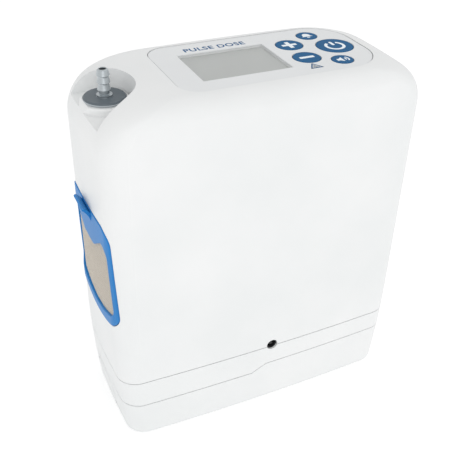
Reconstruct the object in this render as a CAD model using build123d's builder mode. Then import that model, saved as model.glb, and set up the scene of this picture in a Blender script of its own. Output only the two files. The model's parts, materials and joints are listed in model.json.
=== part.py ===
from build123d import *
import os
from math import radians, sin, sqrt

os.makedirs("parts", exist_ok=True)

# Portable oxygen concentrator. Millimetres, +Z up, +X to the right along the length, +Y to the back.
# The origin is the centre of the flat underside, on the surface that the unit stands on.

# ---- outer form ----
body_length = 179.4
body_width = 82.8
body_height = 207.0
end_crown = 1.4
side_crown = 2.2
front_corner_radius = 12.0
back_corner_radius = 22.0
top_end_radius = 24.0
top_side_radius = 10.0
foot_taper = 3.5
foot_taper_height = 60.0
bottom_round = 2.0
case_wall = 2.4
top_wall = 3.6

# ---- split lines between housing, base and battery ----
upper_split = 42.0
battery_split_low = 24.1
battery_split_high = 28.7
split_step_start = -8.8
split_step_end = 0.4
seam_gap = 0.5
base_floor = 36.0

# ---- clearances ----
moving_gap = 0.35
fixed_gap = 0.05
running_gap = 0.05

# ---- control panel ----
overlay_left = -45.2
overlay_right = 67.0
overlay_depth = 60.6
overlay_thickness = 1.0
overlay_recess = 1.3
overlay_gap = 0.4
overlay_left_corner = 11.0
overlay_right_corner = 21.0
screen_center = (-6.85, -1.15)
screen_size = (48.9, 35.5)
window_thickness = 1.0
window_recess = 0.4
key_travel = 0.5
key_cap_height = 1.0
key_stem_radius = 2.6
# name: (x, y, cap radius)
key_places = {
    "power": (53.2, 0.0, 10.1),
    "plus": (30.6, 9.55, 7.4),
    "minus": (30.6, -9.55, 7.4),
    "light": (46.5, 18.75, 5.8),
    "sound": (46.5, -18.75, 5.8),
}
alert_place = (28.6, -22.2)
alert_side = 4.4
keypad_board_thickness = 1.6
dome_height = 0.7

# ---- oxygen outlet ----
pocket_center = (-84.0, -2.8)
pocket_radius = 23.0
pocket_floor = 193.5
nozzle_x = -75.0
nozzle_bore = 1.7
nozzle_barb_radius = 3.3
nozzle_barb_pitch = 3.6
nozzle_barbs = 3
nozzle_stem_radius = 4.0
nozzle_length = 13.6
flange_radius = 10.6
flange_thickness = 2.0
collar_radius = 12.6
collar_height = 3.6

# ---- intake filter on the left end ----
filter_center_y = -2.5
filter_bottom = 84.0
filter_belly = 7.5
filter_top = 143.0
filter_low_half_width = 33.2
filter_high_half_width = 30.8
filter_corner = 9.0
filter_side_border = 3.2
filter_foot_border = 5.5
filter_head_border = 7.0
filter_proud = 0.5
filter_seat_depth = 1.4
filter_seat_ledge = 2.4
screen_thickness = 0.7
thumb_pad_drop = 13.5
thumb_pad_half_width = 8.0
lip_reach = 4.6
lip_rise = 1.0
lip_height = 10.0
lip_thickness = 1.4

# ---- exhaust on the right end ----
exhaust_center_z = 86.0
exhaust_half_width = 21.0
exhaust_height = 44.0
exhaust_slats = 9
slat_thickness = 1.4
fan_size = 40.0
fan_depth = 10.0
fan_bore = 18.6
fan_blades = 7

# ---- charging socket ----
socket_x = 3.8
socket_z = 43.0
socket_radius = 3.4
barrel_radius = 2.75
barrel_depth = 9.5
pin_radius = 0.95

# ---- battery ----
cell_radius = 9.2
cell_length = 65.0
cell_pitch = 18.8
cell_gap = 1.8
lid_thickness = 2.0
rail_y = 24.0
rail_stem_half = 3.0
rail_head_half = 6.0
rail_head_bottom = 30.5
rail_head_top = 33.0
rail_end_inset = 6.0
latch_center_y = 3.0
latch_half_width = 17.0
latch_bottom = 4.5
latch_top = 20.0
latch_travel = 2.5
latch_gap = 0.8
latch_wall = 2.0
latch_pin_radius = 1.5
latch_collar_radius = 4.0
latch_collar_length = 1.5
spring_coil_radius = 2.6
spring_wire_radius = 0.35
spring_pitch = 1.7
guide_thickness = 4.5
terminal_half_width = 12.0
terminal_count = 5
blade_thickness = 0.8

# ---- chassis, pump and gas train ----
chassis_bottom = 50.0
chassis_thickness = 2.5
boss_x = 76.0
boss_y = 12.0
boss_radius = 4.0
boss_height = 8.0
screw_radius = 1.5
screw_head_radius = 2.8
pump_x = -14.0
pump_y = 6.0
pump_z = 88.0
pump_half_depth = 14.0
crankcase_half_length = 16.0
crankcase_half_height = 18.0
cylinder_length = 24.0
cylinder_radius = 13.5
piston_radius = 10.5
piston_gap = 0.3
piston_height = 9.0
head_thickness = 10.0
port_length = 5.0
crank_throw = 4.0
crank_pin_radius = 3.0
shaft_radius = 4.0
stator_radius = 22.0
stator_length = 22.0
rotor_radius = 12.0
air_gap = 0.5
mount_height = 5.5
column_x = 56.0
column_y = 17.5
column_radius = 15.0
column_top = 150.0
manifold_height = 12.0
tank_radius = 14.0
tank_length = 76.0
tank_z = 136.0
tank_y = 18.0
hose_radius = 2.4


# ---- outer form, as horizontal sections that shrink towards the top and the foot ----
def half_length_at(z, inset):
    if z < foot_taper_height:
        taper_radius = (foot_taper**2 + foot_taper_height**2) / (2 * foot_taper)
        drop = foot_taper_height - z
        return body_length / 2 - taper_radius + sqrt((taper_radius - inset) ** 2 - drop**2)
    rise = max(0.0, z - (body_height - top_end_radius))
    inner = top_end_radius - inset
    return body_length / 2 - top_end_radius + sqrt(max(0.0, inner**2 - rise**2))


def half_width_at(z, inset):
    rise = max(0.0, z - (body_height - top_side_radius))
    inner = top_side_radius - inset
    return body_width / 2 - top_side_radius + sqrt(max(0.0, inner**2 - rise**2))


def section_at(z, inset):
    half_l = half_length_at(z, inset)
    half_w = half_width_at(z, inset)
    corner_x = half_l - end_crown
    corner_y = half_w - side_crown
    growth = 0.3 * (body_length / 2 - inset - half_l) * (z > foot_taper_height)
    with BuildSketch(Plane.XY.offset(z), mode=Mode.PRIVATE) as section:
        with BuildLine():
            ThreePointArc((-corner_x, -corner_y), (0, -half_w), (corner_x, -corner_y))
            ThreePointArc((corner_x, -corner_y), (half_l, 0), (corner_x, corner_y))
            ThreePointArc((corner_x, corner_y), (0, half_w), (-corner_x, corner_y))
            ThreePointArc((-corner_x, corner_y), (-half_l, 0), (-corner_x, -corner_y))
        make_face()
        front = section.vertices().filter_by(lambda v: v.Y < 0)
        fillet(front, front_corner_radius - inset + growth)
        back = section.vertices().group_by(Axis.Y)[-1]
        fillet(back, back_corner_radius - inset + growth)
    return section.sketch


def case_form(inset, bottom=0.0):
    shoulder = body_height - top_end_radius
    foot_heights = [bottom + (foot_taper_height - bottom) * step / 4 for step in range(5)]
    top_heights = [shoulder + (top_end_radius - inset) * sin(radians(9 * step)) for step in range(11)]
    with BuildPart(mode=Mode.PRIVATE) as form:
        loft([section_at(z, inset) for z in foot_heights])
        extrude(section_at(foot_taper_height, inset), amount=shoulder - foot_taper_height)
        loft([section_at(z, inset) for z in top_heights])
    return form.part


outer_form = case_form(0)
inner_form = case_form(case_wall, -5)
seat_form = case_form(filter_seat_depth)
screen_form = case_form(filter_seat_depth - moving_gap)
proud_form = case_form(-filter_proud)
seam_form = case_form(0.8)


# A slab across the whole plan between two heights.
def slab(low, high):
    return Pos(0, 0, (low + high) / 2) * Box(
        2 * body_length, 2 * body_width, high - low, mode=Mode.PRIVATE
    )


# Everything below the stepped split line, raised or lowered by shift.
def below_step(shift, floor=-10.0):
    far = body_length
    with BuildPart(mode=Mode.PRIVATE) as region:
        with BuildSketch(Plane.XZ.offset(-body_width)):
            with BuildLine():
                Polyline(
                    (-far, floor),
                    (far, floor),
                    (far, battery_split_high + shift),
                    (split_step_end, battery_split_high + shift),
                    (split_step_start, battery_split_low + shift),
                    (-far, battery_split_low + shift),
                    close=True,
                )
            make_face()
        extrude(amount=2 * body_width)
    return region.part


# Outline of the intake filter, seen from the left end: wider at its foot, with a belly below.
def filter_outline(plane_x, grow):
    low_half = filter_low_half_width + grow
    high_half = filter_high_half_width + grow
    low = filter_bottom - grow
    high = filter_top + grow
    middle = filter_center_y
    with BuildSketch(Plane.YZ.offset(plane_x), mode=Mode.PRIVATE) as outline:
        with BuildLine():
            ThreePointArc((middle - low_half, low), (middle, low - filter_belly), (middle + low_half, low))
            Line((middle + low_half, low), (middle + high_half, high))
            Line((middle + high_half, high), (middle - high_half, high))
            Line((middle - high_half, high), (middle - low_half, low))
        make_face()
        fillet(outline.vertices(), filter_corner + grow)
    return outline.sketch


# The frame's window follows its outline and leaves a thumb pad that hangs into it from the top.
def window_outline(plane_x):
    low_half = filter_low_half_width - filter_side_border
    high_half = filter_high_half_width - filter_side_border
    low = filter_bottom + filter_foot_border
    high = filter_top - filter_head_border
    middle = filter_center_y
    with BuildSketch(Plane.YZ.offset(plane_x), mode=Mode.PRIVATE) as outline:
        with BuildLine():
            ThreePointArc((middle - low_half, low), (middle, low - filter_belly), (middle + low_half, low))
            Polyline(
                (middle + low_half, low),
                (middle + high_half, high),
                (middle + thumb_pad_half_width, high - thumb_pad_drop),
                (middle - thumb_pad_half_width, high - thumb_pad_drop),
                (middle - high_half, high),
                (middle - low_half, low),
            )
        make_face()
        fillet(outline.vertices(), filter_corner - filter_side_border)
    return outline.sketch


# ---- upper housing ----
panel_top = body_height - overlay_recess + overlay_thickness
recess_floor = body_height - overlay_recess
ceiling = body_height - top_wall
overlay_center_x = (overlay_left + overlay_right) / 2
overlay_length = overlay_right - overlay_left
key_well_floor = recess_floor - key_cap_height
housing_bottom = upper_split + seam_gap / 2
base_top = upper_split - seam_gap / 2


def overlay_outline(plane, grow):
    with BuildSketch(plane, mode=Mode.PRIVATE) as outline:
        with Locations((overlay_center_x, 0)):
            Rectangle(overlay_length + 2 * grow, overlay_depth + 2 * grow)
        fillet(outline.vertices().group_by(Axis.X)[0], overlay_left_corner + grow)
        fillet(outline.vertices().group_by(Axis.X)[-1], overlay_right_corner + grow)
    return outline.sketch


with BuildPart() as filter_pocket:
    extrude(filter_outline(-body_length, moving_gap), amount=body_length - 60)
filter_seat = filter_pocket.part

with BuildPart() as upper_housing:
    add(outer_form)
    add(inner_form & slab(housing_bottom - 60, ceiling), mode=Mode.SUBTRACT)
    # walls of the outlet pocket
    with BuildPart(mode=Mode.PRIVATE) as pocket_wall:
        with BuildSketch(Plane.XY.offset(pocket_floor - case_wall)):
            with Locations(pocket_center):
                Circle(pocket_radius + case_wall)
        extrude(amount=ceiling - pocket_floor + case_wall + 1)
        add(outer_form, mode=Mode.INTERSECT)
    add(pocket_wall.part)
    with BuildSketch(Plane.XY.offset(pocket_floor)):
        with Locations(pocket_center):
            Circle(pocket_radius)
    extrude(amount=40, mode=Mode.SUBTRACT)
    # screw bosses tied to the end walls
    with BuildSketch(Plane.XY.offset(chassis_bottom + chassis_thickness + fixed_gap)):
        with GridLocations(2 * boss_x, 2 * boss_y, 2, 2):
            Circle(boss_radius)
        with GridLocations(2 * (boss_x + 8), 2 * boss_y, 2, 2):
            Rectangle(16.0, 2.0)
    extrude(amount=boss_height)
    add(slab(-20, housing_bottom), mode=Mode.SUBTRACT)
    add(upper_housing.part & outer_form, mode=Mode.REPLACE)
    with Locations((0, 0, chassis_bottom)):
        with GridLocations(2 * boss_x, 2 * boss_y, 2, 2):
            Cylinder(1.1, 14, align=(Align.CENTER, Align.CENTER, Align.MIN), mode=Mode.SUBTRACT)
    # recess for the panel overlay, screen opening and key wells
    extrude(overlay_outline(Plane.XY.offset(recess_floor), overlay_gap), amount=10, mode=Mode.SUBTRACT)
    with Locations((screen_center[0], screen_center[1], recess_floor - top_wall)):
        Box(screen_size[0], screen_size[1], 3 * top_wall, mode=Mode.SUBTRACT)
    for place_x, place_y, cap_radius in key_places.values():
        with Locations((place_x, place_y, key_well_floor)):
            Cylinder(
                cap_radius + moving_gap,
                10,
                align=(Align.CENTER, Align.CENTER, Align.MIN),
                mode=Mode.SUBTRACT,
            )
            Cylinder(key_stem_radius + moving_gap, 4 * top_wall, mode=Mode.SUBTRACT)
    with Locations((alert_place[0], alert_place[1], recess_floor)):
        Cylinder(alert_side / 3 + fixed_gap, 4 * top_wall, mode=Mode.SUBTRACT)
    # outlet hole in the pocket floor
    with Locations((nozzle_x, 0, pocket_floor)):
        Cylinder(nozzle_stem_radius + fixed_gap, 20, mode=Mode.SUBTRACT)
    # charging socket hole on the split line
    with BuildSketch(Plane.XZ.offset(body_width / 2 - 6)):
        with Locations((socket_x, socket_z)):
            Circle(socket_radius + fixed_gap)
    extrude(amount=20, mode=Mode.SUBTRACT)
    # seat and opening for the intake filter
    add(filter_seat - seat_form, mode=Mode.SUBTRACT)
    extrude(filter_outline(-body_length, -filter_seat_ledge), amount=body_length - 60, mode=Mode.SUBTRACT)
    # exhaust opening in the right end
    with BuildSketch(Plane.YZ.offset(60)):
        with Locations((0, exhaust_center_z)):
            RectangleRounded(2 * exhaust_half_width, exhaust_height, 6)
    extrude(amount=60, mode=Mode.SUBTRACT)
upper_housing.part.label = "upper_housing"
export_step(upper_housing.part, "parts/upper_housing.step")

# ---- base housing, seam gasket and battery rails' channels ----
with BuildPart() as base_housing:
    add(outer_form)
    add(slab(base_top, body_height + 10), mode=Mode.SUBTRACT)
    add(below_step(seam_gap / 2), mode=Mode.SUBTRACT)
    add(inner_form & slab(base_floor, upper_split), mode=Mode.SUBTRACT)
    # T channels open at the right end
    channel_start = -body_length / 2 + rail_end_inset - moving_gap
    channel_length = body_length
    for side in (-1, 1):
        with Locations((channel_start, side * rail_y, 0)):
            Box(
                channel_length,
                2 * (rail_stem_half + moving_gap),
                rail_head_bottom + 1,
                align=(Align.MIN, Align.CENTER, Align.MIN),
                mode=Mode.SUBTRACT,
            )
        with Locations((channel_start, side * rail_y, rail_head_bottom - moving_gap)):
            Box(
                channel_length,
                2 * (rail_head_half + moving_gap),
                rail_head_top - rail_head_bottom + 2 * moving_gap,
                align=(Align.MIN, Align.CENTER, Align.MIN),
                mode=Mode.SUBTRACT,
            )
    # well for the battery connector, open towards the step
    connector_left = split_step_start - 26
    with Locations(((connector_left + split_step_start) / 2, 0, 0)):
        Box(
            split_step_start - connector_left,
            2 * terminal_half_width,
            base_floor - 2,
            align=(Align.CENTER, Align.CENTER, Align.MIN),
            mode=Mode.SUBTRACT,
        )
    with Locations((split_step_start, 0, battery_split_low)):
        Box(
            2 * (split_step_end - split_step_start),
            2 * terminal_half_width - 2,
            6.5,
            align=(Align.CENTER, Align.CENTER, Align.MIN),
            mode=Mode.SUBTRACT,
        )
    # screws pass up through the floor
    with Locations((0, 0, base_floor)):
        with GridLocations(2 * boss_x, 2 * boss_y, 2, 2):
            Cylinder(screw_radius + fixed_gap, 40, mode=Mode.SUBTRACT)
    with Locations((0, 0, rail_head_top + moving_gap - 12)):
        with GridLocations(2 * boss_x, 2 * boss_y, 2, 2):
            Cylinder(
                screw_head_radius + fixed_gap,
                12,
                align=(Align.CENTER, Align.CENTER, Align.MIN),
                mode=Mode.SUBTRACT,
            )
    # charging socket hole
    with BuildSketch(Plane.XZ.offset(body_width / 2 - 6)):
        with Locations((socket_x, socket_z)):
            Circle(socket_radius + fixed_gap)
    extrude(amount=20, mode=Mode.SUBTRACT)
base_housing.part.label = "base_housing"
export_step(base_housing.part, "parts/base_housing.step")

with BuildPart() as base_gasket:
    add((seam_form - inner_form) & slab(base_top, housing_bottom))
    with BuildSketch(Plane.XZ.offset(body_width / 2 - 6)):
        with Locations((socket_x, socket_z)):
            Circle(socket_radius + fixed_gap)
    extrude(amount=20, mode=Mode.SUBTRACT)
base_gasket.part.label = "base_gasket"
export_step(base_gasket.part, "parts/base_gasket.step")

# Four screws from beneath, through the base and the chassis feet into the housing bosses.
screw_tip = chassis_bottom + chassis_thickness + boss_height - 1
with BuildPart() as housing_screws:
    with Locations((0, 0, rail_head_top + moving_gap - 2)):
        with GridLocations(2 * boss_x, 2 * boss_y, 2, 2):
            Cylinder(screw_head_radius, 2, align=(Align.CENTER, Align.CENTER, Align.MIN))
    with Locations((0, 0, rail_head_top + moving_gap)):
        with GridLocations(2 * boss_x, 2 * boss_y, 2, 2):
            Cylinder(
                1.1 - fixed_gap,
                screw_tip - rail_head_top,
                align=(Align.CENTER, Align.CENTER, Align.MIN),
            )
housing_screws.part.label = "housing_screws"
export_step(housing_screws.part, "parts/housing_screws.step")

# ---- charging socket: sleeve, body and centre pin, with the barrel bore facing the front ----
socket_front = -body_width / 2 + 1.2
socket_depth = 13.0
with BuildPart() as dc_jack:
    with BuildSketch(Plane.XZ.offset(-socket_front - 3)):
        with Locations((socket_x, socket_z)):
            Circle(socket_radius)
    extrude(amount=3)
    with BuildSketch(Plane.XZ.offset(-socket_front - 3)):
        with Locations((socket_x, socket_z - 0.5)):
            Rectangle(10, 10)
    extrude(amount=-(socket_depth - 3))
    with BuildSketch(Plane.XZ.offset(-socket_front)):
        with Locations((socket_x, socket_z)):
            Circle(barrel_radius)
    extrude(amount=-barrel_depth, mode=Mode.SUBTRACT)
    with BuildSketch(Plane.XZ.offset(-socket_front - barrel_depth - 0.5)):
        with Locations((socket_x, socket_z)):
            Circle(pin_radius)
    extrude(amount=barrel_depth)
dc_jack.part.label = "dc_jack"
export_step(dc_jack.part, "parts/dc_jack.step")

# ---- control panel ----
with BuildPart() as top_overlay:
    extrude(overlay_outline(Plane.XY.offset(recess_floor), 0), amount=overlay_thickness)
    with Locations((screen_center[0], screen_center[1], recess_floor)):
        Box(screen_size[0], screen_size[1], 10, mode=Mode.SUBTRACT)
    for place_x, place_y, cap_radius in key_places.values():
        with Locations((place_x, place_y, recess_floor)):
            Cylinder(cap_radius + moving_gap, 10, mode=Mode.SUBTRACT)
    with BuildSketch(Plane.XY.offset(recess_floor)):
        with Locations(alert_place):
            RegularPolygon(alert_side / sqrt(3) + fixed_gap, 3, rotation=90)
    extrude(amount=10, mode=Mode.SUBTRACT)
top_overlay.part.label = "top_overlay"
export_step(top_overlay.part, "parts/top_overlay.step")

window_top = panel_top - window_recess
with BuildPart() as display_window:
    with Locations((screen_center[0], screen_center[1], window_top)):
        Box(
            screen_size[0] - 2 * fixed_gap,
            screen_size[1] - 2 * fixed_gap,
            window_thickness,
            align=(Align.CENTER, Align.CENTER, Align.MAX),
        )
display_window.part.label = "display_window"
export_step(display_window.part, "parts/display_window.step")

board_top = key_well_floor - 4.0
with BuildPart() as display_module:
    with Locations((screen_center[0], screen_center[1], board_top)):
        Box(
            screen_size[0] - 2 * fixed_gap,
            screen_size[1] - 2 * fixed_gap,
            window_top - window_thickness - board_top,
            align=(Align.CENTER, Align.CENTER, Align.MIN),
        )
    chamfer(display_module.edges().group_by(Axis.Z)[-1], 0.4)
display_module.part.label = "display_module"
export_step(display_module.part, "parts/display_module.step")

board_left = screen_center[0] - screen_size[0] / 2 - 3
board_right = key_places["power"][0] + 12
with BuildPart() as keypad_board:
    with Locations(((board_left + board_right) / 2, 0, board_top)):
        Box(
            board_right - board_left,
            50,
            keypad_board_thickness,
            align=(Align.CENTER, Align.CENTER, Align.MAX),
        )
    fillet(keypad_board.edges().filter_by(Axis.Z), 3)
    # posts that hang the board from the ceiling
    post_places = [(board_left + 3, 22), (board_left + 3, -22), (board_right - 4, 22), (board_right - 4, -22)]
    for post_x, post_y in post_places:
        with Locations((post_x, post_y, board_top)):
            Cylinder(2, ceiling - board_top, align=(Align.CENTER, Align.CENTER, Align.MIN))
keypad_board.part.label = "keypad_board"
export_step(keypad_board.part, "parts/keypad_board.step")

dome_top = board_top + dome_height
with BuildPart() as dome_switches:
    for place_x, place_y, cap_radius in key_places.values():
        with Locations((place_x, place_y, board_top)):
            Cone(3.0, 1.6, dome_height, align=(Align.CENTER, Align.CENTER, Align.MIN))
dome_switches.part.label = "dome_switches"
export_step(dome_switches.part, "parts/dome_switches.step")

with BuildPart() as alert_lens:
    with BuildSketch(Plane.XY.offset(recess_floor)):
        with Locations(alert_place):
            RegularPolygon(alert_side / sqrt(3), 3, rotation=90)
    extrude(amount=overlay_thickness)
    with Locations((alert_place[0], alert_place[1], recess_floor)):
        Cylinder(alert_side / 3, recess_floor - board_top, align=(Align.CENTER, Align.CENTER, Align.MAX))
alert_lens.part.label = "alert_lens"
export_step(alert_lens.part, "parts/alert_lens.step")

# Each key is a cap in its well with a stem that ends just above its dome.
cap_bottom = panel_top + 0.1 - key_cap_height
for key_name, (place_x, place_y, cap_radius) in key_places.items():
    with BuildPart() as key:
        with Locations((place_x, place_y, cap_bottom)):
            Cylinder(cap_radius, key_cap_height, align=(Align.CENTER, Align.CENTER, Align.MIN))
        fillet(key.edges().group_by(Axis.Z)[-1], 0.3)
        with Locations((place_x, place_y, cap_bottom)):
            Cylinder(
                key_stem_radius,
                cap_bottom - dome_top - key_travel - moving_gap,
                align=(Align.CENTER, Align.CENTER, Align.MAX),
            )
    key.part.label = f"key_{key_name}"
    export_step(key.part, f"parts/key_{key_name}.step")

buzzer_height = 6.0
with BuildPart() as buzzer:
    with Locations((key_places["sound"][0], 0, board_top - keypad_board_thickness)):
        Cylinder(6, buzzer_height, align=(Align.CENTER, Align.CENTER, Align.MAX))
    with Locations((key_places["sound"][0], 0, board_top - keypad_board_thickness - buzzer_height)):
        Cylinder(1, 3, mode=Mode.SUBTRACT)
buzzer.part.label = "buzzer"
export_step(buzzer.part, "parts/buzzer.step")

# ---- oxygen outlet: collar, flange, barbed nozzle, nut and inline filter on one vertical axis ----
outlet_plane = Plane((nozzle_x, 0, 0), x_dir=(1, 0, 0), z_dir=(0, -1, 0))
collar_top = pocket_floor + collar_height
with BuildPart() as nozzle_collar:
    with BuildSketch(Plane.XY.offset(pocket_floor)):
        with Locations((nozzle_x, 0)):
            Circle(collar_radius)
            Circle(nozzle_stem_radius + fixed_gap, mode=Mode.SUBTRACT)
    extrude(amount=collar_height)
    add(outer_form, mode=Mode.INTERSECT)
    fillet(nozzle_collar.edges().group_by(Axis.Z)[-1].filter_by(GeomType.CIRCLE), 0.8)
nozzle_collar.part.label = "nozzle_collar"
export_step(nozzle_collar.part, "parts/nozzle_collar.step")

flange_top = collar_top + flange_thickness
with BuildPart() as nozzle_flange:
    with BuildSketch(outlet_plane):
        with BuildLine():
            Polyline(
                (nozzle_stem_radius + fixed_gap, collar_top),
                (flange_radius - 0.5, collar_top),
                (flange_radius, collar_top + 0.6),
                (flange_radius, flange_top - 0.7),
                (flange_radius - 0.7, flange_top),
                (nozzle_stem_radius + fixed_gap, flange_top),
                close=True,
            )
        make_face()
    revolve(axis=Axis((nozzle_x, 0, 0), (0, 0, 1)))
nozzle_flange.part.label = "nozzle_flange"
export_step(nozzle_flange.part, "parts/nozzle_flange.step")

nozzle_top = flange_top + nozzle_length
nozzle_foot = pocket_floor - case_wall - 5
neck_radius = nozzle_barb_radius - 0.7
with BuildPart() as cannula_nozzle:
    with BuildSketch(outlet_plane):
        with BuildLine():
            points = [
                (nozzle_bore, nozzle_foot),
                (nozzle_stem_radius, nozzle_foot),
                (nozzle_stem_radius, flange_top),
                (nozzle_barb_radius + 0.6, flange_top),
                (nozzle_barb_radius + 0.6, flange_top + 0.8),
                (neck_radius, flange_top + 1.2),
            ]
            barb_base = nozzle_top - nozzle_barbs * nozzle_barb_pitch
            for barb in range(nozzle_barbs):
                z = barb_base + barb * nozzle_barb_pitch
                points.append((neck_radius, z))
                points.append((nozzle_barb_radius, z + 0.5))
                points.append((neck_radius, z + nozzle_barb_pitch - 0.5))
            points.append((nozzle_bore + 0.3, nozzle_top))
            points.append((nozzle_bore, nozzle_top - 0.3))
            Polyline(*points, close=True)
        make_face()
    revolve(axis=Axis((nozzle_x, 0, 0), (0, 0, 1)))
cannula_nozzle.part.label = "cannula_nozzle"
export_step(cannula_nozzle.part, "parts/cannula_nozzle.step")

nut_top = pocket_floor - case_wall
nut_height = 3.5
with BuildPart() as nozzle_nut:
    with BuildSketch(Plane.XY.offset(nut_top)):
        with Locations((nozzle_x, 0)):
            RegularPolygon(7.5, 6)
            Circle(nozzle_stem_radius + fixed_gap, mode=Mode.SUBTRACT)
    extrude(amount=-nut_height)
nozzle_nut.part.label = "nozzle_nut"
export_step(nozzle_nut.part, "parts/nozzle_nut.step")

output_filter_height = 16.0
filter_disc_top = nozzle_foot
with BuildPart() as output_filter:
    with Locations((nozzle_x, 0, filter_disc_top)):
        Cylinder(10, output_filter_height, align=(Align.CENTER, Align.CENTER, Align.MAX))
    fillet(output_filter.edges().filter_by(GeomType.CIRCLE), 1.5)
    with Locations((nozzle_x, 0, filter_disc_top - output_filter_height)):
        Cylinder(hose_radius - 0.8, 6, align=(Align.CENTER, Align.CENTER, Align.MAX))
output_filter.part.label = "output_filter"
export_step(output_filter.part, "parts/output_filter.step")

# ---- intake side: frame and mesh that pull off, grille and muffler that stay ----
with BuildPart() as filter_frame:
    extrude(filter_outline(-body_length, 0), amount=body_length - 60)
    add(proud_form, mode=Mode.INTERSECT)
    add(screen_form, mode=Mode.SUBTRACT)
    extrude(window_outline(-body_length), amount=body_length - 60, mode=Mode.SUBTRACT)
    fillet(filter_frame.faces().sort_by(Axis.X)[0].edges(), 0.6)
    # lip that curls outwards over the thumb pad, clear of the case
    pad_x = -body_length / 2 - filter_proud + 0.2
    lip_x = -body_length / 2 - lip_reach
    lip_top = filter_top + lip_rise
    lip_foot = lip_top - lip_height
    lip_middle = lip_top - lip_height / 2
    lip_plane = Plane((0, filter_center_y + thumb_pad_half_width, 0), x_dir=(1, 0, 0), z_dir=(0, -1, 0))
    with BuildSketch(lip_plane):
        with BuildLine():
            ThreePointArc((pad_x, lip_foot), (pad_x - 0.8, lip_middle), (lip_x, lip_top))
            Line((lip_x, lip_top), (lip_x + 0.6 * lip_thickness, lip_top + 0.7 * lip_thickness))
            ThreePointArc(
                (lip_x + 0.6 * lip_thickness, lip_top + 0.7 * lip_thickness),
                (pad_x + 0.5 * lip_thickness, lip_middle + 0.3 * lip_thickness),
                (pad_x + 0.4, lip_foot),
            )
            Line((pad_x + 0.4, lip_foot), (pad_x, lip_foot))
        make_face()
    extrude(amount=2 * thumb_pad_half_width)
filter_frame.part.label = "filter_frame"
export_step(filter_frame.part, "parts/filter_frame.step")

with BuildPart() as filter_screen:
    extrude(filter_outline(-body_length, -filter_seat_ledge - moving_gap), amount=body_length - 60)
    add(screen_form, mode=Mode.INTERSECT)
    add(case_form(filter_seat_depth - moving_gap + screen_thickness), mode=Mode.SUBTRACT)
filter_screen.part.label = "filter_screen"
export_step(filter_screen.part, "parts/filter_screen.step")

# Bars behind the filter, across the intake opening, and the muffler box that the air enters.
grille_x = -body_length / 2 + case_wall + fixed_gap
grille_thickness = 1.6
with BuildPart() as intake_grille:
    extrude(filter_outline(grille_x, 0), amount=grille_thickness)
    bar_count = 7
    bar_pitch = (filter_top - filter_bottom) / (bar_count + 1)
    for bar in range(bar_count):
        with Locations((grille_x, 0, filter_bottom + bar_pitch * (bar + 0.9))):
            Box(4 * grille_thickness, 34, bar_pitch - 2.2, mode=Mode.SUBTRACT)
    add(inner_form, mode=Mode.INTERSECT)
intake_grille.part.label = "intake_grille"
export_step(intake_grille.part, "parts/intake_grille.step")

muffler_left = grille_x + grille_thickness
muffler_length = 20.0
with BuildPart() as intake_muffler:
    with Locations((muffler_left, 0, (filter_bottom + filter_top) / 2)):
        Box(muffler_length, 40, 36, align=(Align.MIN, Align.CENTER, Align.CENTER))
    fillet(intake_muffler.edges().filter_by(Axis.X), 4)
    opening = intake_muffler.faces().sort_by(Axis.X)[0]
    offset(amount=-2, openings=opening)
    with Locations((muffler_left + muffler_length, 0, pump_z + 8)):
        Cylinder(hose_radius, 8, rotation=(0, 90, 0), mode=Mode.SUBTRACT)
intake_muffler.part.label = "intake_muffler"
export_step(intake_muffler.part, "parts/intake_muffler.step")

# ---- exhaust side: slatted grille in the right end, and the cooling fan behind it ----
grille_inner_x = body_length / 2 - case_wall - 1.6
with BuildPart() as exhaust_grille:
    with BuildSketch(Plane.YZ.offset(grille_inner_x)):
        with Locations((0, exhaust_center_z)):
            RectangleRounded(2 * exhaust_half_width + 5, exhaust_height + 5, 7)
    extrude(amount=1.0)
    add(case_form(case_wall + fixed_gap), mode=Mode.INTERSECT)
    with BuildSketch(Plane.YZ.offset(grille_inner_x)):
        with Locations((0, exhaust_center_z)):
            RectangleRounded(2 * (exhaust_half_width - fixed_gap), exhaust_height - 2 * fixed_gap, 6)
    extrude(amount=10)
    slot_pitch = (exhaust_height - 6) / exhaust_slats
    with BuildSketch(Plane.YZ.offset(grille_inner_x - 1)):
        with Locations((0, exhaust_center_z)):
            with GridLocations(0, slot_pitch, 1, exhaust_slats):
                SlotOverall(2 * exhaust_half_width - 6, slot_pitch - slat_thickness)
    extrude(amount=12, mode=Mode.SUBTRACT)
    add(case_form(0.3), mode=Mode.INTERSECT)
exhaust_grille.part.label = "exhaust_grille"
export_step(exhaust_grille.part, "parts/exhaust_grille.step")

fan_right = grille_inner_x - 0.4
fan_left = fan_right - fan_depth
fan_hub = 11.0
with BuildPart() as fan_housing:
    with Locations((fan_left, 0, exhaust_center_z)):
        Box(fan_depth, fan_size, fan_size, align=(Align.MIN, Align.CENTER, Align.CENTER))
    fillet(fan_housing.edges().filter_by(Axis.X), 3)
    with Locations((fan_left, 0, exhaust_center_z)):
        Cylinder(fan_bore, 3 * fan_depth, rotation=(0, 90, 0), mode=Mode.SUBTRACT)
    # four struts carry the hub with the bearing pin
    with BuildSketch(Plane.YZ.offset(fan_left)):
        with Locations((0, exhaust_center_z)):
            with PolarLocations(0, 2):
                Rectangle(2 * fan_bore + 1, 2.4)
            Circle(fan_hub)
    extrude(amount=1.6)
    with BuildSketch(Plane.YZ.offset(fan_left)):
        with Locations((0, exhaust_center_z)):
            Circle(1.5)
    extrude(amount=fan_depth - 1)
fan_housing.part.label = "fan_housing"
export_step(fan_housing.part, "parts/fan_housing.step")

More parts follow.
